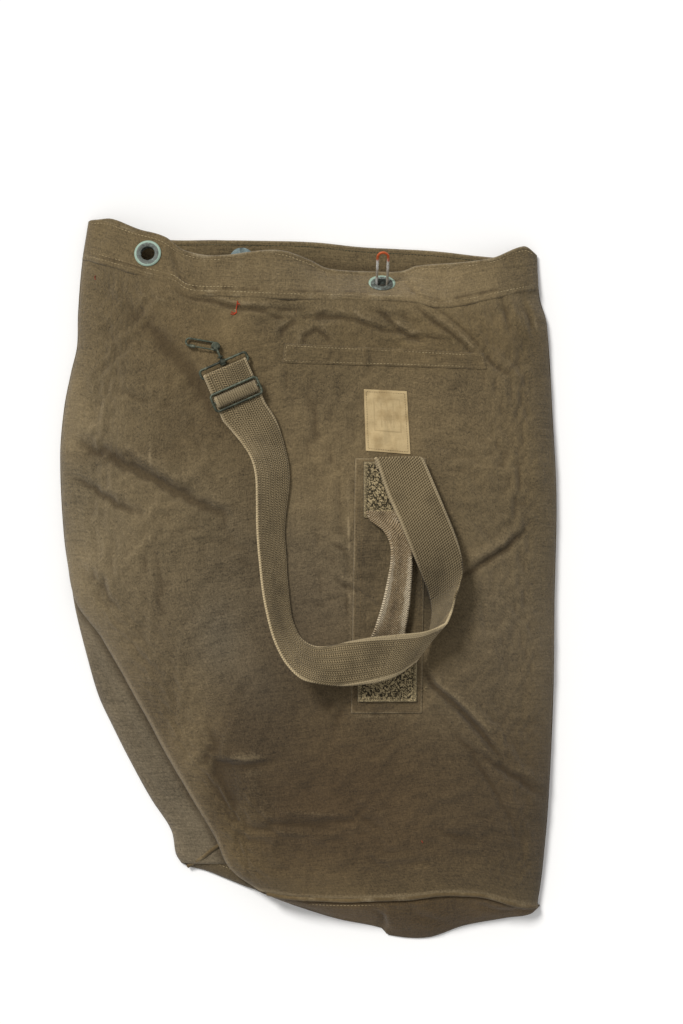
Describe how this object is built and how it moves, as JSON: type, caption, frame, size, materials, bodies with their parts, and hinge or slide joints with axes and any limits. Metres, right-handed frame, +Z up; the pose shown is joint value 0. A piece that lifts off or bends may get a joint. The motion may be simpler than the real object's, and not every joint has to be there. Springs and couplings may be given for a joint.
{
  "type": "duffel bag",
  "caption": "Empty canvas duffel bag lying flat, with a hemmed mouth, eyelets, a locking staple, a carry handle and a webbing shoulder strap with a slide adjuster and snap hook.",
  "frame": {"origin": "middle of the footprint of the bag as it lies flat on its back, on the floor", "axes": "+Y towards the mouth, +Z up out of the face with the handle and strap, +X to the right with the mouth at the top"},
  "size_m": [0.5, 0.7226, 0.0865],
  "materials": {
    "canvas": "faded, worn cotton duck",
    "hem_canvas": "folded cotton duck, worn pale along the edge",
    "webbing": "woven cotton webbing, frayed edges",
    "label": "tan woven tape",
    "red_thread": "red thread",
    "eyelet_brass": "tarnished, grey-green",
    "staple_wire": "dull wire, rusted at the bend",
    "dark_steel": "dark green-grey, worn"
  },
  "bodies": {
    "bag": {"canvas_front": "canvas", "canvas_back": "canvas", "canvas_side_tuck": "canvas", "canvas_bottom": "canvas", "bottom_seam_welt": "hem_canvas", "hem_front": "hem_canvas", "hem_back": "hem_canvas", "upper_strip": "canvas", "handle_backing": "canvas", "owner_label": "label", "red_tack": "red_thread", "eyelet_front_left": "eyelet_brass", "eyelet_front_staple": "eyelet_brass", "eyelet_back_left": "eyelet_brass", "eyelet_back_right": "eyelet_brass", "washer_front_left": "eyelet_brass", "washer_front_staple": "eyelet_brass", "washer_back_left": "eyelet_brass", "washer_back_right": "eyelet_brass", "locking_staple": "staple_wire", "staple_plate": "dark_steel", "handle_top_pad": "webbing", "handle_bottom_pad": "webbing"},
    "handle": {"handle_grip": "webbing"},
    "strap_root": {"strap_upper": "webbing"},
    "strap_free": {"strap_lower": "webbing", "strap_end_fold": "webbing"},
    "adjuster": {"adjuster_frame": "dark_steel", "adjuster_bar": "dark_steel", "adjuster_web": "webbing"},
    "loop": {"strap_loop": "dark_steel"},
    "swivel": {"swivel_post": "dark_steel"},
    "hook": {"hook_body": "dark_steel"},
    "gate": {"hook_gate": "dark_steel"}
  },
  "joints": [
    {"name": "strap_lift", "type": "hinge", "parent": "bag", "child": "strap_root", "pos_m": [0.0915, 0.119, 0.0508], "axis": [-1, 0, 0], "range_deg": [0, 95]},
    {"name": "strap_fold", "type": "hinge", "parent": "strap_root", "child": "strap_free", "pos_m": [0.1215, -0.06, 0.0675], "axis": [-1, 0, 0], "range_deg": [-95, 0]},
    {"name": "handle_lift", "type": "hinge", "parent": "bag", "child": "handle", "pos_m": [0.081, -0.002, 0.0525], "axis": [-0.0333, -0.9994, 0], "range_deg": [0, 86]},
    {"name": "adjuster_slide", "type": "slide", "parent": "strap_free", "child": "adjuster", "axis": [-0.4003, 0.9164, 0], "range_m": [-0.008, 0.012]},
    {"name": "loop_turn", "type": "hinge", "parent": "strap_free", "child": "loop", "pos_m": [-0.0814, 0.2092, 0.0501], "axis": [0.9164, 0.4003, 0], "range_deg": [0, 100]},
    {"name": "hook_swivel", "type": "hinge", "parent": "loop", "child": "swivel", "pos_m": [-0.0858, 0.21928, 0.0501], "axis": [-0.4003, 0.9164, 0], "range_deg": [0, 175]},
    {"name": "hook_turn", "type": "hinge", "parent": "swivel", "child": "hook", "pos_m": [-0.09161, 0.23257, 0.0452], "axis": [0, 0, 1], "range_deg": [-110, 35]},
    {"name": "gate_open", "type": "hinge", "parent": "hook", "child": "gate", "pos_m": [-0.09161, 0.23257, 0.0474], "axis": [0, 0, -1], "range_deg": [0, 12], "stiffness_Nm_per_rad": 0.2}
  ],
  "couplings": [
    {"joint": "strap_fold", "follows": "strap_lift", "ratio": -1},
    {"joint": "handle_lift", "follows": "strap_lift", "ratio": 0.9}
  ]
}
